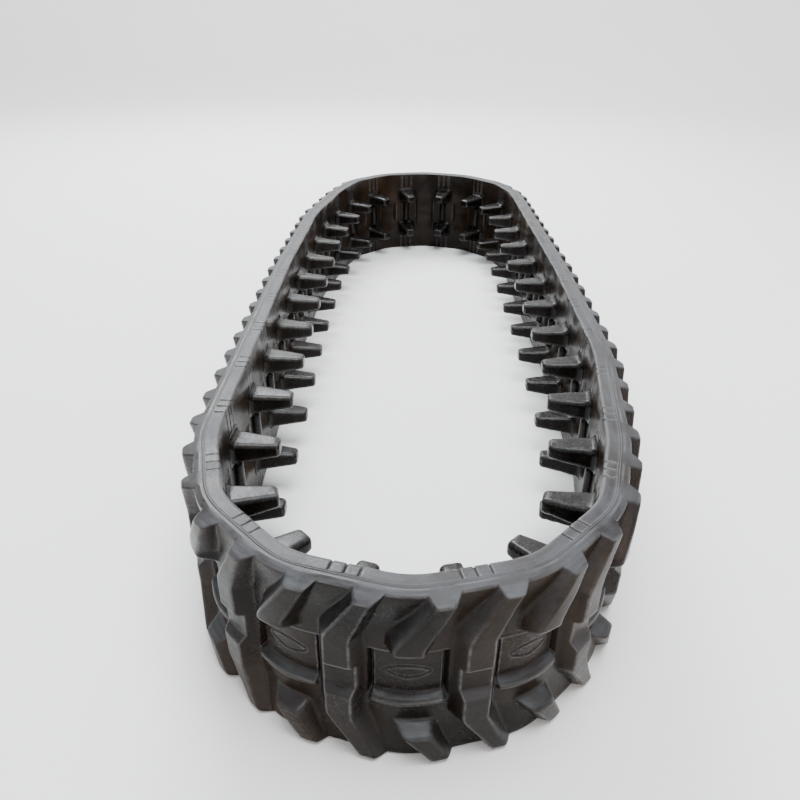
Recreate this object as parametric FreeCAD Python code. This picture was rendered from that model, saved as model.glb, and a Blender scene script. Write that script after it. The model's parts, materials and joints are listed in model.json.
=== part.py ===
import FreeCAD, Part
import math
import os

from FreeCAD import Placement, Rotation, Vector

# Rubber track for a mini machine, lying on its edge as a free loop. All sizes in mm.
# The origin is the centre of the loop on the floor, +Z is up (across the track's width)
# and the long way of the loop runs along Y.
#
# Local frame of one section: X along the track (clockwise seen from above), Y outwards
# (towards the tread), Z across the width with zero at mid-width. Y = 0 is the plane of the
# steel cords, which keeps its length when the track bends, so every hinge axis lies in it.

# ---- driving dimensions -------------------------------------------------------------
PITCH = 72.0              # from one iron core to the next
WIDTH = 130.0
RAIL = 7.5                # inner running surface, inwards from the cord plane
FLOOR = 5.0               # tread floor, outwards from the cord plane
TREAD = 17.0              # lug crests, outwards from the cord plane
HORN = 43.0               # guide horn tips, inwards from the cord plane

# Sections of the loop, in pitches. The ends of the loop flex at every pitch, the long
# sides every two or three. Both lists describe half of the loop; the other half is the
# same again, turned by 180 degrees. A bend follows each section, in degrees at rest.
HALF_SECTIONS = [1, 2, 3, 3, 2, 1, 1, 1, 1, 1]
HALF_BENDS = [15.0, 0.0, 2.0, 8.0, 8.0, 27.0, 31.0, 30.0, 30.0, 29.0]
FIRST_HEADING = 105.0     # direction of the first section, anticlockwise from +X

# Flex joint between two sections
KNUCKLE_R = 3.5
KNUCKLE_GAP = 0.3
INNER_RELIEF = 23.5       # each section's face leans back this much on the inner side
OUTER_RELIEF = 5.0        # and this much on the tread side

# Lugs
LONG_BASE, LONG_CREST = 13.0, 8.5      # half widths along the track
SHORT_BASE, SHORT_CREST = 12.0, 7.5
LONG_LINE = [(-19.0, -65.0), (0.0, -30.0), (0.0, 34.0), (-17.0, 65.0)]
SHORT_TOP = [(-17.0, 65.0), (0.0, 24.0)]
SHORT_LOW = [(-16.0, -65.0), (0.0, -37.0)]
SHORT_END_SLOPE = 3.0
NOTCH_LOW, NOTCH_TOP, NOTCH_DEPTH = -21.0, 12.0, 4.5

# Tread windows (shallow panels between the long lugs) and sprocket pockets behind them
WINDOW_HALF, WINDOW_LOW, WINDOW_TOP = 22.0, -18.0, 18.5
WINDOW_FLOOR, WINDOW_SLOPE = 2.0, 1.5
SLOT_WIDTH, SLOT_FLOOR = 2.6, 0.0
POCKET_HALF, POCKET_HALF_Z, POCKET_FLOOR = 17.0, 15.0, 2.0

# Guide horns: (length, width, corner radius) of the rubber skin at the base and the tip
HORN_Z = 28.0
HORN_BASE, HORN_TIP = (31.0, 24.0, 6.0), (17.0, 13.0, 4.5)
BRIDGE_R, BRIDGE_HALF = 7.0, 17.0

# Iron core and steel cords
HORN_SKIN = 2.0
WING_HALF, WING_HALF_Z, WING_IN, WING_OUT = 12.0, 54.0, 6.2, 1.7
BRIDGE_CORE_R = 5.0
CORD_R = 1.0
CORD_Z = [22.0, 30.0, 38.0, 46.0, 54.0]
CORD_COVER = 0.6


def frustum(base, crest, y_base, y_crest):
    """Flat-faced solid between two outlines of (x, z) points with parallel edges."""
    rings = [[Vector(x, y, z) for x, z in outline]
             for outline, y in ((base, y_base), (crest, y_crest))]
    faces = [Part.Face(Part.makePolygon(ring + ring[:1])) for ring in rings]
    for i in range(len(base)):
        j = (i + 1) % len(base)
        loop = [rings[0][i], rings[0][j], rings[1][j], rings[1][i], rings[0][i]]
        faces.append(Part.Face(Part.makePolygon(loop)))
    shell = Part.makeShell(faces)
    shell.sewShape()
    solid = Part.makeSolid(shell)
    if solid.Volume < 0:
        solid.reverse()
    return solid


def band(line, half):
    """Outline of a strip of constant width along x that follows a line of (x, z) points."""
    return [(x - half, z) for x, z in line] + [(x + half, z) for x, z in reversed(line)]


def block(x0, x1, y0, y1, z0, z1):
    return Part.makeBox(x1 - x0, y1 - y0, z1 - z0, Vector(x0, y0, z0))


def rounded_outline(x, z, size):
    """Outline of a rectangle whose corners are rounded by three chords each."""
    length, width, radius = size
    a, b = length / 2 - radius, width / 2 - radius
    points = []
    for cx, cz, turn in ((a, b, 0), (-a, b, 90), (-a, -b, 180), (a, -b, 270)):
        for step in (0, 30, 60, 90):
            angle = math.radians(turn + step)
            points.append((x + cx + radius * math.cos(angle), z + cz + radius * math.sin(angle)))
    return points


def horn(x, z, base, tip, y_base, y_tip):
    return frustum(rounded_outline(x, z, base), rounded_outline(x, z, tip), y_base, y_tip)


def shrunk(size, skin):
    length, width, radius = size
    return (length - 2 * skin, width - 2 * skin, radius - skin)


def envelope(length):
    """Space a section may fill: a socket at x = 0 and a knuckle at x = length."""
    def at(x, radius, side):
        relief = math.radians(OUTER_RELIEF if side > 0 else INNER_RELIEF)
        lean = -1 if x > 0 else 1
        return Vector(x + lean * radius * math.sin(relief),
                      side * radius * math.cos(relief), -WIDTH)

    reach, socket = 60.0, KNUCKLE_R + KNUCKLE_GAP
    start_out, start_in = at(0, socket, 1), at(0, socket, -1)
    end_out, end_in = at(length, KNUCKLE_R, 1), at(length, KNUCKLE_R, -1)
    edges = [
        Part.Arc(start_in, Vector(socket, 0, -WIDTH), start_out).toShape(),
        Part.makeLine(start_out, at(0, reach, 1)),
        Part.makeLine(at(0, reach, 1), at(length, reach, 1)),
        Part.makeLine(at(length, reach, 1), end_out),
        Part.Arc(end_out, Vector(length + KNUCKLE_R, 0, -WIDTH), end_in).toShape(),
        Part.makeLine(end_in, at(length, reach, -1)),
        Part.makeLine(at(length, reach, -1), at(0, reach, -1)),
        Part.makeLine(at(0, reach, -1), start_in),
    ]
    return Part.Face(Part.Wire(edges)).extrude(Vector(0, 0, 2 * WIDTH))


def iron_core(x):
    """Forged core: wings across the track, two guide horns and the bridge between them."""
    pieces = [block(x - WING_HALF, x + WING_HALF, -WING_IN, -WING_OUT,
                    -WING_HALF_Z, WING_HALF_Z)]
    for side in (-1, 1):
        pieces.append(horn(x, side * HORN_Z, shrunk(HORN_BASE, HORN_SKIN),
                           shrunk(HORN_TIP, HORN_SKIN), -WING_OUT - 2, -HORN + HORN_SKIN))
    pieces.append(Part.makeCylinder(BRIDGE_CORE_R, 2 * BRIDGE_HALF,
                                    Vector(x, -RAIL, -BRIDGE_HALF), Vector(0, 0, 1)))
    return pieces[0].multiFuse(pieces[1:]).removeSplitter()


def steel_cords(length):
    start = KNUCKLE_R + KNUCKLE_GAP + CORD_COVER
    end = length + KNUCKLE_R - CORD_COVER - 0.3
    return [Part.makeCylinder(CORD_R, end - start, Vector(start, 0, side * z),
                              Vector(1, 0, 0))
            for side in (-1, 1) for z in CORD_Z]


def lugs(centre):
    """The long lug over a core, with the notch across its crest."""
    lug = frustum(band(LONG_LINE, LONG_BASE), band(LONG_LINE, LONG_CREST), FLOOR - 1, TREAD)
    notch = frustum([(-20, NOTCH_LOW + 3), (20, NOTCH_LOW + 3), (20, NOTCH_TOP), (-20, NOTCH_TOP)],
                    [(-20, NOTCH_LOW - 3), (20, NOTCH_LOW - 3), (20, NOTCH_TOP), (-20, NOTCH_TOP)],
                    TREAD - NOTCH_DEPTH, TREAD + NOTCH_DEPTH)
    lug = lug.cut(notch)
    lug.translate(Vector(centre, 0, 0))
    return lug


def short_lugs(centre):
    """The two short lugs that run from the edges towards a tread window."""
    solids = []
    for line, inwards in ((SHORT_TOP, -1), (SHORT_LOW, 1)):
        (x0, z0), (x1, z1) = line
        slope = (x1 - x0) / (z1 - z0)
        z_crest = z1 - inwards * SHORT_END_SLOPE
        crest_line = [(x0, z0), (x0 + slope * (z_crest - z0), z_crest)]
        solid = frustum(band(line, SHORT_BASE), band(crest_line, SHORT_CREST),
                        FLOOR - 1, TREAD)
        solid.translate(Vector(centre, 0, 0))
        solids.append(solid)
    return solids


def window_cuts(centre):
    """Tread window with a slot at each end, and the sprocket pocket behind it."""
    def outline(extra):
        x, low, top = WINDOW_HALF + extra, WINDOW_LOW - 2 * extra, WINDOW_TOP + extra
        return [(-x, low), (x, low), (x, top), (-x, top)]

    rise = FLOOR - WINDOW_FLOOR
    cuts = [frustum(outline(0), outline(2 * WINDOW_SLOPE), WINDOW_FLOOR,
                    WINDOW_FLOOR + 2 * rise)]
    for side in (-1, 1):
        x = side * (WINDOW_HALF - SLOT_WIDTH / 2)
        cuts.append(block(x - SLOT_WIDTH / 2, x + SLOT_WIDTH / 2, SLOT_FLOOR, FLOOR,
                          WINDOW_LOW, WINDOW_TOP))
    cuts.append(block(-POCKET_HALF, POCKET_HALF, -RAIL - 1, -POCKET_FLOOR,
                      -POCKET_HALF_Z, POCKET_HALF_Z))
    for cut in cuts:
        cut.translate(Vector(centre, 0, 0))
    return cuts


def rubber(pitches, core_shapes, cord_shapes):
    length = pitches * PITCH
    windows = [i * PITCH for i in range(pitches + 1)]
    cores = [(i + 0.5) * PITCH for i in range(pitches)]
    carcass = block(-KNUCKLE_R, length + 2 * KNUCKLE_R, -RAIL, FLOOR, -WIDTH / 2, WIDTH / 2)
    carcass = carcass.cut([cut for centre in windows for cut in window_cuts(centre)])
    raised = [lugs(centre) for centre in cores]
    raised += [lug for centre in windows for lug in short_lugs(centre)]
    for centre in cores:
        for side in (-1, 1):
            raised.append(horn(centre, side * HORN_Z, HORN_BASE, HORN_TIP, -RAIL + 1, -HORN))
        raised.append(Part.makeCylinder(BRIDGE_R, 2 * BRIDGE_HALF,
                                        Vector(centre, -RAIL, -BRIDGE_HALF), Vector(0, 0, 1)))
    solid = carcass.multiFuse(raised).removeSplitter()
    solid = solid.common(envelope(length))
    return solid.cut(core_shapes + cord_shapes)


def section_shapes(pitches):
    core_shapes = [iron_core((i + 0.5) * PITCH) for i in range(pitches)]
    cord_shapes = steel_cords(pitches * PITCH)
    return {"rubber": rubber(pitches, core_shapes, cord_shapes),
            "cores": Part.makeCompound(core_shapes) if pitches > 1 else core_shapes[0],
            "cords": Part.makeCompound(cord_shapes)}


def section_places():
    """Start point and heading of every section, with the middle of the loop at the origin."""
    x = y = 0.0
    heading = FIRST_HEADING
    places = []
    for pitches, bend in zip(HALF_SECTIONS * 2, HALF_BENDS * 2):
        places.append((x, y, heading))
        x += pitches * PITCH * math.cos(math.radians(heading))
        y += pitches * PITCH * math.sin(math.radians(heading))
        heading -= bend
    opposite = places[len(HALF_SECTIONS)]
    return [(px - opposite[0] / 2, py - opposite[1] / 2, angle) for px, py, angle in places]


def main():
    os.makedirs("parts", exist_ok=True)
    shapes = {pitches: section_shapes(pitches) for pitches in sorted(set(HALF_SECTIONS))}
    first = 1
    for pitches, (x, y, heading) in zip(HALF_SECTIONS * 2, section_places()):
        last = first + pitches - 1
        number = "%02d" % first if pitches == 1 else "%02d_to_%02d" % (first, last)
        place = Placement(Vector(x, y, WIDTH / 2), Rotation(Vector(0, 0, 1), heading))
        names = {"rubber": "rubber_section_", "cords": "steel_cords_",
                 "cores": "iron_core_" if pitches == 1 else "iron_cores_"}
        for kind, name in names.items():
            shape = shapes[pitches][kind].copy()
            shape.Placement = place
            shape.exportStep("parts/%s%s.step" % (name, number))
        first = last + 1


main()
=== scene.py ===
"""The look of the rubber track: mouldings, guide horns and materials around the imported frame.

Lengths are millimetres in straight coordinates (s along the track, z across it, y outwards
from the cord plane) until place() turns them into metres in the row frame.
"""
import json
import math

import bpy
import numpy as np
from mathutils import Matrix, Vector

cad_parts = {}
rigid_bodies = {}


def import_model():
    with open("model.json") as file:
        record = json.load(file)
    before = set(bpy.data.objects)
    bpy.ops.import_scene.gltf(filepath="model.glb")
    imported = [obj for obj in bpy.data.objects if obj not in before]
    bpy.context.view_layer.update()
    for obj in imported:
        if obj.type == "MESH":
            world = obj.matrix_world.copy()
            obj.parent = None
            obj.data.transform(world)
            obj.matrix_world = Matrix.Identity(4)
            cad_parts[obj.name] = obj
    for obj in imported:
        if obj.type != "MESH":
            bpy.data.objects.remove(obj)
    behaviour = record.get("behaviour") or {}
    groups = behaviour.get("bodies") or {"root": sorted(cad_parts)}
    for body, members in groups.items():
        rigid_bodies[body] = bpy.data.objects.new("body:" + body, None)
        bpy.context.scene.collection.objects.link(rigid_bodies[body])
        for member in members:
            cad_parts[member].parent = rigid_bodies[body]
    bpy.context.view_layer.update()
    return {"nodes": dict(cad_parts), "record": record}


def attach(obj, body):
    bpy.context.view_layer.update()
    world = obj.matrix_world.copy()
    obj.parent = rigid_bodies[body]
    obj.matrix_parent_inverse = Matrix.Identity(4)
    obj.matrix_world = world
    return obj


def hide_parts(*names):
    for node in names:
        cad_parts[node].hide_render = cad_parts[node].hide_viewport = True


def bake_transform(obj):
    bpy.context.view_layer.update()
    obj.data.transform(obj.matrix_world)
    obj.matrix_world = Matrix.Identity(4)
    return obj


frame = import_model()
record = frame["record"]

MM = 0.001
PITCH, LINKS = 72.0, 32
TRACK = PITCH * LINKS
HALF_WIDTH = 65.0
RAIL, FLOOR = -7.5, 5.0   # inner running surface and tread floor, from the cord plane
CREST = 11.6              # lug height above the tread floor
REST_BEND = 22.0          # half length of the rest shape's bend at each hinge

# Half widths of the lugs' crests at mid-width and at the rims, and the run of their flanks
LONG_CREST, LONG_FLANK = (7.7, 4.6), 5.7
SHORT_CREST, SHORT_FLANK = (6.4, 4.8), 5.5
SHORT_TOP_END, SHORT_TOP_SLOPE = 23.5, 4.2
SHORT_LOW_END, SHORT_LOW_SLOPE = -36.6, 3.8
LUG_FOOT, LUG_ROUND = 0.3, 0.18            # fillet and crest rounding, as parts of a flank
NOTCH_LOW, NOTCH_TOP, NOTCH_DEPTH, NOTCH_LEDGE = -13.5, 10.4, 4.5, 5.4
WINDOW_HALF, WINDOW_HALF_Z, WINDOW_DEPTH = 22.0, 18.4, 3.0
SLOT_START, SLOT_DEPTH = 19.2, 2.4
BAR_Z, BAR_HALF, BAR_HEIGHT = -21.3, 3.0, 2.7
CREASE_LENGTH, CREASE_RISE, CREASE_DEPTH = 13.5, 4.6, 1.3
WEB_START, WEB_RISE = 34.0, 4.2            # the tread floor's rise towards the rims
POCKET_HALF, POCKET_HALF_Z, POCKET_DEPTH = 17.0, 15.2, 5.4
RIM_INSET = 0.36          # keeps the rim's flash lines inside the width
EDGE_R, INNER_R = 1.5, 1.6


# ---------------------------------------------------------------- the track's line
def pitch_range(body):
    words = body.split("_")
    return int(words[1]), int(words[-1])


owner = {}
for body in record["behaviour"]["bodies"]:
    first, last = pitch_range(body)
    for number in range(first, last + 1):
        owner[number] = body


def following(number):
    return number % LINKS + 1


corners, hinged = {}, {}
for joint in record["behaviour"]["joints"]:
    ends = (joint["parent"], joint["child"])
    for before, after in (ends, ends[::-1]):
        last = pitch_range(before)[1]
        if following(last) == pitch_range(after)[0]:
            corners[last] = np.array(joint["pos_m"][:2]) / MM
            hinged[last] = (before, after)
# The open pivot has no joint: it lies opposite a hinge, through the loop's centre.
seam = [n for n in owner if owner[n] != owner[following(n)] and n not in corners][0]
corners[seam] = -corners[(seam + LINKS // 2 - 1) % LINKS + 1]


def centre_line():
    """Samples of s, x, y and heading once round the loop, smooth through every corner."""
    numbers = sorted(corners)
    points = [corners[n] for n in numbers]
    runs = []
    for i in range(len(numbers)):
        step = points[(i + 1) % len(points)] - points[i]
        runs.append(math.atan2(step[1], step[0]))
    t = np.linspace(-1, 1, 121)
    out_s, out_x, out_y, out_h = [], [], [], []
    heading = runs[0]
    for i, n in enumerate(numbers):
        turn = (runs[i] - runs[i - 1] + math.pi) % (2 * math.pi) - math.pi
        start_heading = heading - turn if i == 0 else heading
        h = turn * (0.5 + 0.75 * t - 0.25 * t ** 3)
        xs, ys = np.cos(h), np.sin(h)
        step = t[1] - t[0]
        px = np.concatenate([[0], np.cumsum((xs[1:] + xs[:-1]) / 2 * step)])
        py = np.concatenate([[0], np.cumsum((ys[1:] + ys[:-1]) / 2 * step)])
        # scaled so that the bend ends exactly on the next straight run
        scale = math.hypot(1 + math.cos(turn), math.sin(turn)) / math.hypot(px[-1], py[-1])
        px, py = px * scale * REST_BEND, py * scale * REST_BEND
        c, s = math.cos(start_heading), math.sin(start_heading)
        x0 = points[i][0] - REST_BEND * c
        y0 = points[i][1] - REST_BEND * s
        out_s += list(n * PITCH + t * REST_BEND)
        out_x += list(x0 + c * px - s * py)
        out_y += list(y0 + s * px + c * py)
        out_h += list(start_heading + h)
        heading = start_heading + turn
    s, x, y, h = (np.array(a) for a in (out_s, out_x, out_y, out_h))
    # one lap before and one after; a lap turns clockwise
    s = np.concatenate([s - TRACK, s, s + TRACK])
    h = np.concatenate([h + 2 * math.pi, h, h - 2 * math.pi])
    return s, np.tile(x, 3), np.tile(y, 3), h


LINE = centre_line()


def line_at(s):
    x = np.interp(s, LINE[0], LINE[1])
    y = np.interp(s, LINE[0], LINE[2])
    h = np.interp(s, LINE[0], LINE[3])
    return x, y, h


def place(s, z, y):
    """Straight coordinates in mm to row-frame points in metres."""
    cx, cy, h = line_at(s)
    return np.stack([cx - np.sin(h) * y, cy + np.cos(h) * y, z + HALF_WIDTH], -1) * MM


# ---------------------------------------------------------------- small shape functions
def soft(t, r):
    """max(t, 0) with a rounded corner."""
    return np.where(t <= -r, 0.0, np.where(t >= r, t, (t + r) ** 2 / (4 * r)))


def flank(t, foot=0.3, crest=0.2):
    """0 to 1 as t goes 0 to 1, with a fillet at the foot and a rounded crest."""
    return 1 - soft(1 - soft(t, foot), crest)


def soft_min(a, b, k):
    return 0.5 * (a + b - np.sqrt((a - b) ** 2 + k * k))


def smooth(t):
    t = np.clip(t, 0, 1)
    return t * t * (3 - 2 * t)


def steps(*spans):
    out = []
    for a, b, step in spans:
        n = max(1, int(round((b - a) / step)))
        out += [a + (b - a) * i / n for i in range(n)]
    return out + [spans[-1][1]]


def wander(s, z, seed, size=1.0):
    """Smooth low unevenness, periodic along the track, between about -1 and 1."""
    rng = np.random.RandomState(seed)
    total = 0.0
    for _ in range(9):
        k = rng.randint(8, 60) / size
        m = rng.uniform(-3.0, 3.0) / size
        total = total + np.sin(2 * np.pi * (round(k) * s / TRACK + m * z / 130.0)
                               + rng.uniform(0, 6.28))
    return total / 4.5


# ---------------------------------------------------------------- the moulding
def chevron(z):
    """How far the lugs lean back from the core line at width z."""
    bend_z = 2.0
    return (-17.0 / 33.0 * soft(z - 32.0, bend_z) - 18.5 / 34.0 * soft(-31.0 - z, bend_z))


def ridge(distance, half):
    """1 on a fine line, fading over its half width."""
    return np.exp(-(distance / half) ** 2)


def rim_z(y):
    """Half width of the track at height y: the teeth's ends slope in."""
    return HALF_WIDTH - 0.03 - 0.26 * soft(y - 5.0, 0.8)


def half_width_at(z, middle, rim):
    """Half width of a lug's crest, which tapers towards the rims."""
    return middle + (rim - middle) * smooth((np.abs(z) - 24.0) / 41.0)


LUG_COLUMNS = [0, .35, .8, 1.4, 2.6, 4, 5.4, 6.6, 7.3, 7.8, 8.2, 8.6, 9.0, 9.6, 10.4, 11.2,
               12.0, 12.7, 13.3, 13.8, 14.2, 14.6, 15.1, 15.8, 16.3, 16.7, 17.1, 17.8, 18.9,
               20.2, 21.2, 22, 22.7, 23.3, 23.9, 24.6, 25.4, 26.2, 26.9, 27.5, 28.0, 28.5,
               29.1, 30.0, 31.4, 33, 34.5, 36]
COLUMNS = np.array([d - 36 for d in LUG_COLUMNS] + [36 - d for d in LUG_COLUMNS[-2::-1]])


def outer_height(u, z, s):
    """Height of the tread side at column u (chevron straightened) and width z."""
    from_hinge = np.abs(u)
    from_core = PITCH / 2 - from_hinge
    wear = 0.5 * wander(s, z, 5)

    side = (half_width_at(z, *LONG_CREST) + LONG_FLANK - from_core) / LONG_FLANK
    long_lug = CREST * flank(side, LUG_FOOT, 0.2 + 0.05 * wear)
    notch = (flank((z - NOTCH_LOW) / NOTCH_LEDGE, .06, .06)
             * flank((NOTCH_TOP - z) / 1.4, .3, .3))
    notched = CREST - NOTCH_DEPTH * notch
    rounding = 1.5
    long_lug = np.minimum(long_lug, soft_min(long_lug, notched, rounding)
                          + rounding / 2 * (1 - notch))

    side = (half_width_at(z, *SHORT_CREST) + SHORT_FLANK - from_hinge) / SHORT_FLANK
    top_end = (z - SHORT_TOP_END) / SHORT_TOP_SLOPE
    low_end = (SHORT_LOW_END - z) / SHORT_LOW_SLOPE
    top = CREST * flank(soft_min(side, top_end, 0.16), LUG_FOOT, LUG_ROUND)
    low = CREST * flank(soft_min(side, low_end, 0.16), LUG_FOOT, LUG_ROUND)

    inside_u = flank((WINDOW_HALF - from_hinge) / 0.9, .35, .35)
    window = (inside_u * flank((z + WINDOW_HALF_Z) / 2.6, .25, .25)
              * flank((WINDOW_HALF_Z - z) / 1.4, .3, .3))
    slot = (flank((from_hinge - SLOT_START) / 0.7, .35, .35) * inside_u
            * flank((z + WINDOW_HALF_Z - 1.0) / 1.0, .3, .3)
            * flank((WINDOW_HALF_Z - 0.8 - z) / 1.0, .3, .3))
    across = (z - BAR_Z - 0.004 * u * u) / BAR_HALF
    bar = flank((20.6 - from_hinge) / 1.8, .3, .3) * np.sqrt(np.clip(1 - across ** 2, 0, 1))
    frame_line = flank((22.4 - from_hinge) / 1.2) * ridge(z - 19.6, 0.8)
    curve = CREASE_RISE * (1 - (u / CREASE_LENGTH) ** 2)
    crease = (ridge(np.abs(z) - np.maximum(curve, 0), 0.7)
              * smooth((CREASE_LENGTH + 0.3 - from_hinge) / 2.5))

    web = WEB_RISE * smooth((np.abs(z) - WEB_START) / 31.0)
    raised = soft(np.maximum(long_lug, np.maximum(top, low)) - web, 0.9)
    height = FLOOR + web + raised
    height = height - WINDOW_DEPTH * window - SLOT_DEPTH * slot + BAR_HEIGHT * bar
    height = height + 0.35 * frame_line - CREASE_DEPTH * crease * window
    return height + 0.16 * wander(s, z, 11) + 0.09 * wander(s, z, 12, 0.4)


def rib_lines(u):
    """The three fine grooves at each core, seen on the rim and down the rail."""
    d = PITCH / 2 - np.abs(u)
    return ridge(d, 0.55) + ridge(d - 8.4, 0.5)


def inner_depth(u, z, s):
    """Height of the inner side: flat rails and the sprocket pockets."""
    pocket = (flank((POCKET_HALF - np.abs(u)) / 2.6, .35, .35)
              * flank((POCKET_HALF_Z - np.abs(z)) / 2.2, .35, .35))
    lines = rib_lines(u) * smooth((np.abs(z) - 38) / 3)
    return RAIL + POCKET_DEPTH * pocket + 1.3 * lines + 0.18 * wander(s, z, 21)


# Where the cross-section's rows lie: across the tread, down a rim and across the inner side
OUTER_Z = steps((-58, -46, 2.4), (-46, -33, 1.1), (-33, -25, 1.5), (-25, -14, 0.75),
                (-14, -7, 1.1), (-7, 7, 0.7), (7, 11, 1.0), (11, 30, 0.95), (30, 37, 1.4),
                (37, 58, 2.4))
RIM_FAN = [0.0, 0.1, 0.22, 0.36, 0.5, 0.65, 0.82]
RIM_LOW = [3.8, 3.3, 2.9, 2.6, 2.3, 2.0, 1.6, 1.2, 0.8, 0.3, -0.6, -1.8, -3.2, -4.6]
FLASH_Y = (2.6, 1.2)      # two fine lines of mould flash round each rim
INNER_Z = steps((63.4, 42, 2.6), (42, 36, 1.5), (36, 18, 3.0), (18, 11, 0.8), (11, 0, 2.2))
INNER_Z = INNER_Z + [-z for z in INNER_Z[-2::-1]]


def rim_rows(edge_height, edge_z):
    """(z, y, lean) down one rim from the tread's edge; lean is how much of the chevron is left."""
    ribs = rib_lines(COLUMNS)
    rows = []
    for degrees in (25, 50, 75):
        a = math.radians(degrees)
        rows.append((edge_z + EDGE_R * math.sin(a), edge_height - EDGE_R * (1 - math.cos(a)), 1.0))
    top = edge_height - EDGE_R
    for f in RIM_FAN:
        y = top + (RIM_LOW[0] - top) * f
        rows.append((rim_z(y), y, 1.0))
    for y in RIM_LOW:
        lean = smooth((y - 1.3) / 2.3) if y > 1.3 else 0.0
        flash = 0.34 * sum(math.exp(-((y - line) / 0.3) ** 2) for line in FLASH_Y)
        groove = 0.85 * ribs if y < 1.0 else 0.0
        rows.append((rim_z(y) - groove + flash * 0.9 - RIM_INSET, y, lean))
    for degrees in (20, 45, 70):
        a = math.radians(degrees)
        groove = 0.9 * ribs
        z = HALF_WIDTH - RIM_INSET - INNER_R * (1 - math.cos(a)) - groove * math.cos(a)
        y = RAIL + INNER_R * (1 - math.sin(a)) + groove * math.sin(a)
        rows.append((z, y, 0.0))
    return rows


def moulding_rows(centre):
    """Rows of (u, z, y) once round the cross-section, each over all columns."""
    columns = COLUMNS
    flat = np.ones_like(columns)
    rows = []

    def height_at(z):
        return outer_height(columns, z, centre + (columns + chevron(z)))

    def tread_row(z):
        rows.append((columns + chevron(z), z * flat, height_at(z)))

    def edge_of(side):
        height = height_at(side * 63.0 * flat)
        return height, rim_z(height - EDGE_R * 0.5) - EDGE_R

    low_z = edge_of(-1)[1]
    for f in (0.0, 0.3, 0.6):
        tread_row(-low_z + f * (low_z - 58))
    for z in OUTER_Z:
        tread_row(z * flat)
    high_z = edge_of(1)[1]
    for f in (0.4, 0.7, 1.0):
        tread_row(58 + f * (high_z - 58))

    def add_rim(side):
        part = rim_rows(*edge_of(side))
        for z, y, lean in part[::side]:
            reach = side * z * flat if lean == 1 else side * HALF_WIDTH
            rows.append((columns + chevron(reach) * lean, side * z * flat, y * flat))

    add_rim(1)
    for z in INNER_Z:
        rows.append((columns, z * flat, inner_depth(columns, z * flat, centre + columns)))
    add_rim(-1)
    return rows


def bends(grid, rows_close, columns_close):
    """How convex and how hollow a grid of points is, each in 1/mm, from its neighbours."""
    def ahead_and_back(a, axis, closes):
        ahead, back = np.roll(a, -1, axis), np.roll(a, 1, axis)
        if not closes:
            last = [slice(None)] * a.ndim
            first = [slice(None)] * a.ndim
            last[axis], first[axis] = -1, 0
            ahead[tuple(last)], back[tuple(first)] = a[tuple(last)], a[tuple(first)]
        return ahead, back

    spans = []
    for axis, closes in ((0, rows_close), (1, columns_close)):
        ahead, back = ahead_and_back(grid, axis, closes)
        spans.append(ahead - back)
    normal = np.cross(spans[0], spans[1])
    normal /= np.linalg.norm(normal, axis=-1, keepdims=True) + 1e-12
    middle = grid.mean(0 if rows_close else 1, keepdims=True)
    if ((grid - middle) * normal).sum() < 0:
        normal = -normal
    values = []
    for axis, closes in ((0, rows_close), (1, columns_close)):
        ahead, back = ahead_and_back(normal, axis, closes)
        span = spans[axis]
        values.append(((ahead - back) * span).sum(-1) / ((span * span).sum(-1) + 1e-6))
    return (np.clip(np.maximum(*values), 0, None).ravel(),
            np.clip(-np.minimum(*values), 0, None).ravel())


def signed_volume(points, faces):
    """Six times the volume that the faces enclose: negative if they face inwards."""
    tri = np.array([(f[0], f[k], f[k + 1]) for f in faces for k in range(1, len(f) - 1)])
    a, b, c = points[tri[:, 0]], points[tri[:, 1]], points[tri[:, 2]]
    return np.einsum("ij,ij->i", a, np.cross(b, c)).sum()


def mesh_object(name, points, faces, straight, bend, sharp=()):
    """A smooth-shaded object that carries its straight coordinates and bends as attributes."""
    mesh = bpy.data.meshes.new(name)
    mesh.from_pydata([tuple(p) for p in points], [], faces)
    mesh.update()
    if signed_volume(np.asarray(points), faces) < 0:
        mesh.flip_normals()
    mesh.shade_smooth()
    if len(sharp):
        edge_index = {tuple(sorted(e.vertices)): e.index for e in mesh.edges}
        flags = mesh.attributes.new("sharp_edge", "BOOLEAN", "EDGE")
        for pair in sharp:
            flags.data[edge_index[tuple(sorted(pair))]].value = True
    attribute = mesh.attributes.new("straight", "FLOAT_VECTOR", "POINT")
    attribute.data.foreach_set("vector", np.asarray(straight, np.float32).ravel())
    for label, value in zip(("edge_bend", "hollow_bend"), bend):
        attribute = mesh.attributes.new(label, "FLOAT", "POINT")
        attribute.data.foreach_set("value", np.asarray(value, np.float32))
    obj = bpy.data.objects.new(name, mesh)
    bpy.context.scene.collection.objects.link(obj)
    return obj


def seam_relief(y):
    """How far each half of the split window stands back from the open pivot's plane."""
    return 0.02 + 0.021 * np.clip(y, 0, None) + 0.058 * np.clip(-y, 0, None)


def moulding(name, window, first=0, last=None):
    """The rubber from one core's centre line to the next, or part of it by column."""
    centre = window * PITCH
    stop = len(COLUMNS) if last is None else last + 1
    u, z, y = (np.array(part)[:, first:stop] for part in zip(*moulding_rows(centre)))
    if first:
        u[:, 0] += seam_relief(y[:, 0])
    if last is not None:
        u[:, -1] -= seam_relief(y[:, -1])
    n, m = u.shape
    s = centre + u
    grid = place(s, z, y)
    straight = np.stack([s, z, y], -1).reshape(-1, 3) * MM
    faces = []
    for j in range(n):
        k = (j + 1) % n
        for i in range(m - 1):
            faces.append((j * m + i, j * m + i + 1, k * m + i + 1, k * m + i))
    rim_edges = []
    for i in (0, m - 1):
        loop = [j * m + i for j in range(n)]
        rim_edges += [(loop[j], loop[(j + 1) % n]) for j in range(n)]
        faces.append(tuple(loop[::-1] if i else loop))
    return mesh_object(name, grid.reshape(-1, 3), faces, straight,
                       bends(grid / MM, True, False), rim_edges)


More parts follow.
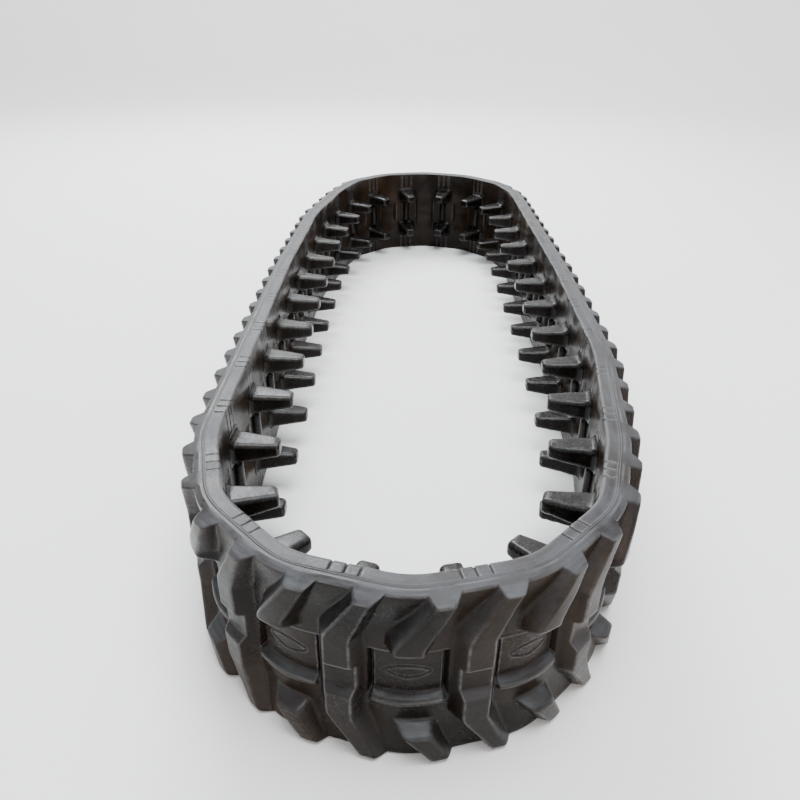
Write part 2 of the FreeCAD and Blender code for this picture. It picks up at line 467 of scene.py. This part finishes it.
# ---------------------------------------------------------------- guide horns
# Half length, half width and corner radius at the root and at the tip
HORN_Z, HORN_TIP = 29.0, -43.0
HORN_BASE_HALF, HORN_TIP_HALF = (11.8, 9.2, 4.2), (6.8, 5.5, 3.6)
CORE_BASE_HALF, CORE_TIP_HALF = (9.6, 7.0, 2.5), (4.4, 3.2, 1.5)
CORE_WING_HALF, CORE_WING_HALF_Z, CORE_WING_Y, CORE_TIP = 12.0, 54.0, (-6.2, -1.7), -41.0
HORN_FILLET, HORN_TIP_ROUND, HORN_TIP_INSET = 4.6, 3.0, 2.6
BRIDGE_R, BRIDGE_HALF = 5.2, 13.0


def rounded_ring(half_x, half_z, r, per_corner=9, per_side=4):
    """Points round a rounded rectangle, the same count for every size."""
    out = []
    for k in range(4):
        sx, sz = ((1, 1), (-1, 1), (-1, -1), (1, -1))[k]
        cx, cz = sx * (half_x - r), sz * (half_z - r)
        for i in range(per_corner + 1):
            a = math.radians(90 * k + 90 * i / per_corner)
            out.append((cx + r * math.cos(a), cz + r * math.sin(a)))
        nx, nz = ((-1, 1), (-1, -1), (1, -1), (1, 1))[k]
        a = math.radians(90 * (k + 1))
        end = (nx * (half_x - r) + r * math.cos(a), nz * (half_z - r) + r * math.sin(a))
        start = out[-1]
        for i in range(1, per_side):
            f = i / per_side
            out.append((start[0] + (end[0] - start[0]) * f, start[1] + (end[1] - start[1]) * f))
    return np.array(out)


def horn_rings():
    """(height y, how far the ring stands out, scale) from the foot to the tip."""
    rings = []
    foot = RAIL - 0.15
    for degrees in (0, 12, 25, 40, 55, 72, 90):
        a = math.radians(degrees)
        rings.append((foot - HORN_FILLET * (1 - math.cos(a)), HORN_FILLET * (1 - math.sin(a)), 1))
    y0, y1 = RAIL - HORN_FILLET - 0.15, HORN_TIP + HORN_TIP_ROUND
    for f in (0.1, 0.25, 0.4, 0.55, 0.7, 0.85, 1.0):
        rings.append((y0 + (y1 - y0) * f, 0.0, 1))
    for degrees in (15, 30, 45, 60, 75, 90):
        a = math.radians(degrees)
        rings.append((y1 - HORN_TIP_ROUND * math.sin(a) * 0.93,
                      -HORN_TIP_INSET * (1 - math.cos(a)), 1))
    for scale in (0.72, 0.45, 0.2):
        rings.append((HORN_TIP + 0.21 * scale, -HORN_TIP_INSET, scale))
    return rings


def horn_grid(z_side, seed):
    """Rings of one horn in (x, z, y) about its core."""
    rng = np.random.RandomState(seed)
    out = []
    for y, stand_out, scale in horn_rings():
        t = (RAIL - y) / (RAIL - HORN_TIP)
        hx, hz, r = (base + (tip - base) * t + stand_out
                     for base, tip in zip(HORN_BASE_HALF, HORN_TIP_HALF))
        r = min(max(r, 1.5), hx - 0.3, hz - 0.3)
        ring = rounded_ring(hx, hz, r) * scale
        along = np.sin(ring[:, 0] * 0.3 + rng.uniform(0, 6))
        dent = 0.25 * along * np.sin(y * 0.2 + rng.uniform(0, 6))
        out.append(np.stack([ring[:, 0] + dent, z_side * HORN_Z + ring[:, 1] - dent,
                             np.full(len(ring), y)], -1))
    return out


def bridge_grid():
    """Rings of the rounded bar between the two horns, along z."""
    profile = []
    for degrees in range(-85, 0, 17):
        a = math.radians(degrees)
        profile.append((-BRIDGE_HALF + BRIDGE_R * math.sin(a), BRIDGE_R * math.cos(a)))
    profile += [(f * BRIDGE_HALF, BRIDGE_R) for f in (-1, -0.5, 0, 0.5, 1)]
    for degrees in range(17, 86, 17):
        a = math.radians(degrees)
        profile.append((BRIDGE_HALF + BRIDGE_R * math.sin(a), BRIDGE_R * math.cos(a)))
    turn = np.radians(np.arange(0, 360, 12))
    return [np.stack([r * np.cos(turn), np.full(len(turn), z), RAIL - 0.4 + r * np.sin(turn)], -1)
            for z, r in profile]


def skin(rings):
    """Points and faces of a stack of rings, closed with one face at each end."""
    n = len(rings[0])
    faces = []
    for j in range(len(rings) - 1):
        for i in range(n):
            k = (i + 1) % n
            faces.append((j * n + i, j * n + k, (j + 1) * n + k, (j + 1) * n + i))
    faces.append(tuple(range(n))[::-1])
    faces.append(tuple((len(rings) - 1) * n + i for i in range(n)))
    return np.concatenate(rings), faces


def at_core(name, number, parts):
    """One rigid piece from stacks of (x, z, y) rings about a core."""
    centre = (number - 0.5) * PITCH
    points, faces, bend = [], [], []
    for part in parts:
        local, local_faces = skin(part)
        # (x, z, y) is a left-handed order, so outward faces enclose a negative volume here
        if signed_volume(local - local.mean(0), local_faces) > 0:
            local_faces = [f[::-1] for f in local_faces]
        base = sum(len(p) for p in points)
        faces += [tuple(base + v for v in f) for f in local_faces]
        points.append(local)
        bend.append(bends(np.array(part), False, True))
    local = np.concatenate(points)
    x0, y0, h = line_at(centre)
    px = x0 + np.cos(h) * local[:, 0] - np.sin(h) * local[:, 2]
    py = y0 + np.sin(h) * local[:, 0] + np.cos(h) * local[:, 2]
    world = np.stack([px, py, local[:, 1] + HALF_WIDTH], -1) * MM
    straight = np.stack([centre + local[:, 0], local[:, 1], local[:, 2]], -1) * MM
    return mesh_object(name, world, faces, straight, [np.concatenate(v) for v in zip(*bend)])


def guide_horns(number):
    """Both horns and the bridge of one core, as one rigid piece."""
    return at_core("guide_horns_%02d" % number, number,
                   (horn_grid(1, number), horn_grid(-1, number + 50), bridge_grid()))


def box_rings(half_x, z0, z1, y0, y1, chamfer):
    """Rings of a box along z with chamfered ends, in (x, z, y)."""
    middle, tall = (y0 + y1) / 2, (y1 - y0) / 2
    rings = []
    for z, cut in ((z0, chamfer), (z0 + chamfer, 0), (z1 - chamfer, 0), (z1, chamfer)):
        ring = rounded_ring(half_x - cut, tall - cut, min(chamfer, tall - cut - 0.05), 3, 2)
        rings.append(np.stack([ring[:, 0], np.full(len(ring), z), middle + ring[:, 1]], -1))
    return rings


def core_parts():
    """The forging inside one pitch: wings, two slim horns and the bridge, in (x, z, y)."""
    parts = [box_rings(CORE_WING_HALF, -CORE_WING_HALF_Z, CORE_WING_HALF_Z, *CORE_WING_Y, 1.0)]
    for side in (-1, 1):
        rings = []
        for y, t in ((-3.7, 0.0), (-40.2, 0.97), (CORE_TIP, 1.0)):
            half = [a + (b - a) * t for a, b in zip(CORE_BASE_HALF, CORE_TIP_HALF)]
            cut = 0.6 if y == CORE_TIP else 0.0
            ring = rounded_ring(half[0] - cut, half[1] - cut, half[2] - cut, 5, 2)
            rings.append(np.stack([ring[:, 0], side * HORN_Z + ring[:, 1],
                                   np.full(len(ring), y)], -1))
        parts.append(rings)
    turn = np.radians(np.arange(0, 360, 15))
    parts.append([np.stack([r * np.cos(turn), np.full(len(turn), z), RAIL + r * np.sin(turn)], -1)
                  for z, r in ((-14, 3.0), (-13, 4.0), (13, 4.0), (14, 3.0))])
    return parts


# ---------------------------------------------------------------- materials
class Tree:
    """Short spellings for building a material's nodes."""

    def __init__(self, name):
        self.material = bpy.data.materials.new(name)
        self.material.use_nodes = True
        self.tree = self.material.node_tree
        self.tree.nodes.clear()
        self.out = self.tree.nodes.new("ShaderNodeOutputMaterial")
        self.shader = self.node("ShaderNodeBsdfPrincipled")
        self.link(self.shader.outputs[0], self.out.inputs["Surface"])

    def node(self, kind, **settings):
        made = self.tree.nodes.new(kind)
        for key, value in settings.items():
            setattr(made, key, value)
        return made

    def link(self, a, b):
        self.tree.links.new(a, b)

    def put(self, socket, value):
        if hasattr(value, "is_linked"):
            self.link(value, socket)
        else:
            socket.default_value = value

    def scaled(self, vector, scale):
        made = self.node("ShaderNodeVectorMath", operation="MULTIPLY")
        self.link(vector, made.inputs[0])
        made.inputs[1].default_value = scale
        return made.outputs[0]

    def noise(self, vector, scale, detail=3.0, rough=0.5):
        made = self.node("ShaderNodeTexNoise")
        self.link(vector, made.inputs["Vector"])
        made.inputs["Scale"].default_value = scale
        made.inputs["Detail"].default_value = detail
        made.inputs["Roughness"].default_value = rough
        return made.outputs["Fac"]

    def ramp(self, value, low, high, to_low=0.0, to_high=1.0):
        made = self.node("ShaderNodeMapRange")
        self.link(value, made.inputs["Value"])
        made.inputs["From Min"].default_value = low
        made.inputs["From Max"].default_value = high
        made.inputs["To Min"].default_value = to_low
        made.inputs["To Max"].default_value = to_high
        return made.outputs["Result"]

    def maths(self, kind, a, b):
        made = self.node("ShaderNodeMath", operation=kind)
        self.put(made.inputs[0], a)
        self.put(made.inputs[1], b)
        return made.outputs[0]

    def blend(self, fac, a, b):
        made = self.node("ShaderNodeMix", data_type="RGBA")
        self.put(made.inputs[0], fac)
        for socket, value in ((made.inputs[6], a), (made.inputs[7], b)):
            if isinstance(value, tuple):
                socket.default_value = value + (1.0,)
            else:
                self.link(value, socket)
        return made.outputs[2]

    def bump(self, height, strength, distance, after=None):
        made = self.node("ShaderNodeBump")
        made.inputs["Strength"].default_value = strength
        made.inputs["Distance"].default_value = distance
        self.link(height, made.inputs["Height"])
        if after is not None:
            self.link(after, made.inputs["Normal"])
        return made.outputs[0]


# Rubber tones: the brown film is partly a painted reflection, the dust grey partly painted sheen,
# the worn edge partly a painted highlight and the hollow dark a painted shade.
RUBBER_DARK, RUBBER_LIGHT = (0.0022, 0.0019, 0.0017), (0.0075, 0.0054, 0.0038)
FILM_AND_REFLECTION_BROWN, DUST_AND_SHEEN_GREY = (0.029, 0.016, 0.0085), (0.066, 0.071, 0.080)
WORN_AND_HIGHLIT_EDGE, PAINTED_HOLLOW_SHADE = (0.19, 0.19, 0.195), (0.006, 0.005, 0.0045)


def rubber_material(name, gloss, dust_and_sheen, film_and_reflection, shine, graininess):
    """Used black rubber of random tone, with a brown film that is partly a painted reflection,
    grey-blue on what faces up that is partly dust and partly painted sheen, worn edges that are
    partly a painted highlight, and painted shade in the hollows.

    gloss is the middle roughness, dust_and_sheen and film_and_reflection how strong those two
    marks are, shine the specular level of what faces up and graininess the strength of the fine
    bump.
    """
    t = Tree(name)
    straight = t.node("ShaderNodeAttribute", attribute_name="straight").outputs["Vector"]
    convex = t.node("ShaderNodeAttribute", attribute_name="edge_bend").outputs["Fac"]
    hollow = t.node("ShaderNodeAttribute", attribute_name="hollow_bend").outputs["Fac"]
    geometry = t.node("ShaderNodeNewGeometry")
    parts = t.node("ShaderNodeSeparateXYZ")
    t.link(geometry.outputs["Normal"], parts.inputs[0])
    mottle = t.noise(straight, 26, 6, 0.62)
    cloud = t.noise(straight, 9, 3, 0.5)
    grain = t.noise(straight, 420, 5, 0.65)
    pits = t.noise(straight, 1600, 2, 0.5)
    streaks = t.noise(t.scaled(straight, (24.0, 260.0, 260.0)), 1.0, 4, 0.6)
    runs = t.noise(t.scaled(straight, (160.0, 14.0, 160.0)), 1.0, 4, 0.6)
    base = t.blend(t.ramp(mottle, 0.36, 0.66), RUBBER_DARK, RUBBER_LIGHT)
    # Brown film in random patches: partly a dirt film, partly a painted reflection of brown
    # surroundings.
    film_and_reflection_mask = t.maths("MULTIPLY", t.ramp(cloud, 0.4, 0.68, 0.1, 1.0),
                     t.ramp(runs, 0.3, 0.7, 0.45, 1.0))
    base = t.blend(t.maths("MULTIPLY", film_and_reflection_mask, film_and_reflection), base, FILM_AND_REFLECTION_BROWN)
    # Grey-blue on what faces up: partly dust, partly painted sheen of the light from above.
    up = t.ramp(parts.outputs["Z"], 0.3, 0.9)
    patch = t.maths("MULTIPLY", t.ramp(mottle, 0.38, 0.58, 0.25, 1.0),
                    t.ramp(streaks, 0.34, 0.6, 0.5, 1.0))
    dust_and_sheen_mask = t.maths("MULTIPLY", t.maths("MULTIPLY", up, patch), dust_and_sheen)
    base = t.blend(dust_and_sheen_mask, base, DUST_AND_SHEEN_GREY)
    # Lighter on convex edges: partly wear, partly a painted highlight.
    edge_wear_and_highlight = t.maths("MULTIPLY", t.ramp(convex, 0.16, 0.55), t.ramp(streaks, 0.35, 0.62, 0.25, 1.0))
    base = t.blend(t.maths("MULTIPLY", edge_wear_and_highlight, 0.3), base, WORN_AND_HIGHLIT_EDGE)
    # Darker in the hollows: painted shade.
    base = t.blend(t.ramp(hollow, 0.12, 0.6, 0.0, 0.8), base, PAINTED_HOLLOW_SHADE)
    t.link(base, t.shader.inputs["Base Color"])
    rough = t.ramp(grain, 0.25, 0.75, gloss - 0.07, gloss + 0.09)
    rough = t.maths("ADD", rough, t.maths("MULTIPLY", dust_and_sheen_mask, 0.2))
    rough = t.maths("ADD", rough, t.ramp(mottle, 0.4, 0.7, -0.06, 0.08))
    t.link(rough, t.shader.inputs["Roughness"])
    shine = t.maths("ADD", t.ramp(parts.outputs["Z"], 0.1, 0.9, 0.12, shine),
                    t.maths("MULTIPLY", edge_wear_and_highlight, 0.25))
    t.link(shine, t.shader.inputs["Specular IOR Level"])
    normal = t.bump(mottle, 0.5, 0.0011)
    normal = t.bump(streaks, 0.25, 0.0004, normal)
    normal = t.bump(grain, graininess, 0.00035, normal)
    normal = t.bump(pits, 0.3, 0.00012, normal)
    t.link(normal, t.shader.inputs["Normal"])
    return t.material


def iron_material():
    """Dark forged iron with patches of rust."""
    t = Tree("core_cast_iron")
    place_in = t.node("ShaderNodeTexCoord").outputs["Object"]
    rust = t.noise(place_in, 60, 5, 0.6)
    grain = t.noise(place_in, 900, 3, 0.6)
    base = t.blend(t.ramp(rust, 0.4, 0.62), (0.05, 0.05, 0.055), (0.13, 0.06, 0.03))
    t.link(base, t.shader.inputs["Base Color"])
    t.shader.inputs["Metallic"].default_value = 0.8
    t.link(t.ramp(grain, 0.3, 0.7, 0.45, 0.7), t.shader.inputs["Roughness"])
    t.link(t.bump(grain, 0.4, 0.0003), t.shader.inputs["Normal"])
    return t.material


def cord_material():
    """Brass-plated steel with the slant of twisted wires."""
    t = Tree("brass_plated_steel_cord")
    place_in = t.node("ShaderNodeTexCoord").outputs["Object"]
    twist = t.node("ShaderNodeTexWave", bands_direction="DIAGONAL")
    t.link(place_in, twist.inputs["Vector"])
    twist.inputs["Scale"].default_value = 300
    tint = t.noise(place_in, 200, 3, 0.5)
    base = t.blend(t.ramp(tint, 0.3, 0.7), (0.35, 0.30, 0.20), (0.30, 0.29, 0.28))
    t.link(base, t.shader.inputs["Base Color"])
    t.shader.inputs["Metallic"].default_value = 1.0
    t.link(t.ramp(tint, 0.3, 0.7, 0.3, 0.45), t.shader.inputs["Roughness"])
    t.link(t.bump(twist.outputs["Fac"], 0.5, 0.0002), t.shader.inputs["Normal"])
    return t.material


# Both rubbers carry painted reflection, sheen, edge highlight and hollow shade as well as dirt and
# wear.
tread_rubber = rubber_material("tread_rubber_used", gloss=0.33, dust_and_sheen=0.85, film_and_reflection=0.8,
                               shine=0.26, graininess=0.45)
horn_rubber = rubber_material("horn_rubber_rubbed_with_painted_light", gloss=0.27, dust_and_sheen=0.10, film_and_reflection=0.05,
                              shine=0.20, graininess=0.2)
iron, cord = iron_material(), cord_material()


# ---------------------------------------------------------------- pieces, most on their bodies; mouldings across a hinge stay unattached
def nodes_at(kind, *numbers):
    """CAD nodes of one kind on the bodies that own these pitches."""
    bodies = dict.fromkeys(owner[number] for number in numbers)
    return [node for body in bodies for node in record["behaviour"]["bodies"][body]
            if node.startswith(kind)]


def rubber_nodes(*numbers):
    return nodes_at("rubber_section", *numbers)


def finish_piece(piece, material, nodes):
    piece.data.materials.append(material)
    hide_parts(*nodes)


for window in range(1, LINKS + 1):
    before, after = window, following(window)
    label = "%02d_%02d" % (before, after)
    if window == seam:
        half = len(COLUMNS) // 2
        for tag, number, first, last in (("a", before, 0, half), ("b", after, half, None)):
            piece = moulding("tread_moulding_%s%s" % (label, tag), window, first, last)
            finish_piece(piece, tread_rubber, rubber_nodes(number))
            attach(piece, owner[number])
        continue
    piece = moulding("tread_moulding_" + label, window)
    finish_piece(piece, tread_rubber, rubber_nodes(before, after))
    if window in hinged:
        first, second = hinged[window]
        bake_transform(piece)
    else:
        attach(piece, owner[before])

for number in range(1, LINKS + 1):
    piece = guide_horns(number)
    finish_piece(piece, horn_rubber, rubber_nodes(number))
    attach(piece, owner[number])
    piece = at_core("core_forging_%02d" % number, number, core_parts())
    finish_piece(piece, iron, nodes_at("iron_core", number))
    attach(piece, owner[number])

node_materials = {"iron": iron, "steel": cord, "rubber": tread_rubber}
for name, node in frame["nodes"].items():
    node.data.materials.clear()
    node.data.materials.append(node_materials[name.split("_")[0]])


# ---------------------------------------------------------------- floor, light and camera
def stage_bowl():
    """Round floor that curves up into a wall, so no horizon shows from any side."""
    mesh = bpy.data.meshes.new("studio_floor")
    flat, bend, top, around = 2.8, 1.6, 4.5, 96   # metres, and points round the circle
    profile = [(flat, 0.0)]
    for i in range(1, 25):
        a = math.radians(90 * i / 24)
        profile.append((flat + bend * math.sin(a), bend * (1 - math.cos(a))))
    profile.append((flat + bend, top))
    points = [(r * math.cos(2 * math.pi * k / around), r * math.sin(2 * math.pi * k / around), z)
              for r, z in profile for k in range(around)]
    faces = [tuple(range(around))]
    for j in range(len(profile) - 1):
        for k in range(around):
            nxt = (k + 1) % around
            faces.append((j * around + k, (j + 1) * around + k,
                          (j + 1) * around + nxt, j * around + nxt))
    mesh.from_pydata(points, [], faces)
    mesh.shade_smooth()
    floor = bpy.data.objects.new("studio_floor", mesh)
    bpy.context.scene.collection.objects.link(floor)
    material = bpy.data.materials.new("studio_floor_paint")
    material.use_nodes = True
    shader = material.node_tree.nodes["Principled BSDF"]
    shader.inputs["Base Color"].default_value = (0.93, 0.93, 0.93, 1)
    shader.inputs["Roughness"].default_value = 0.9
    mesh.materials.append(material)


def lamp(name, place_m, target, power, size, colour=(1, 1, 1)):
    light = bpy.data.lights.new(name, "AREA")
    light.energy, light.size, light.color = power, size, colour
    obj = bpy.data.objects.new(name, light)
    obj.location = place_m
    obj.rotation_euler = (Vector(target) - Vector(place_m)).to_track_quat("-Z", "Y").to_euler()
    bpy.context.scene.collection.objects.link(obj)


stage_bowl()
lamp("key_above_back", (-0.5, 1.5, 1.7), (0, 0.0, 0), 62, 1.0, (0.94, 0.97, 1.0))
lamp("soft_top", (0.2, -0.5, 1.9), (0, -0.1, 0), 52, 1.1, (0.95, 0.98, 1.0))
lamp("warm_front", (0.6, -2.3, 0.6), (0, -0.3, 0.05), 6, 0.6, (1.0, 0.70, 0.48))
lamp("backdrop", (0.0, 1.9, 3.2), (0, 4.0, 0.6), 150, 2.5)
lamp("backdrop_front", (0.0, -1.9, 3.2), (0, -4.0, 0.6), 40, 2.5)
world = bpy.data.worlds.new("studio")
bpy.context.scene.world = world
world.use_nodes = True
background = world.node_tree.nodes["Background"]
background.inputs["Color"].default_value = (0.97, 0.98, 1.0, 1)
background.inputs["Strength"].default_value = 0.20

camera_data = bpy.data.cameras.new("camera")
camera_data.sensor_width = 36.0
camera_data.lens = 30.81
camera_data.clip_start = 0.01
camera = bpy.data.objects.new("camera", camera_data)
bpy.context.scene.collection.objects.link(camera)
bpy.context.scene.camera = camera
CAMERA_PLACE = (-0.0270, -0.7506, 0.3834)
yaw, pitch, roll = (math.radians(a) for a in (-0.33, 29.89, 0.86))
forward = Vector((-math.sin(yaw) * math.cos(pitch), math.cos(yaw) * math.cos(pitch),
                  -math.sin(pitch)))
right = forward.cross(Vector((0, 0, 1))).normalized()
up = right.cross(forward)
right_turned = right * math.cos(roll) + up * math.sin(roll)
up_turned = up * math.cos(roll) - right * math.sin(roll)
axes = zip(right_turned, up_turned, -forward, CAMERA_PLACE)
camera.matrix_world = Matrix([*axes, (0, 0, 0, 1)])
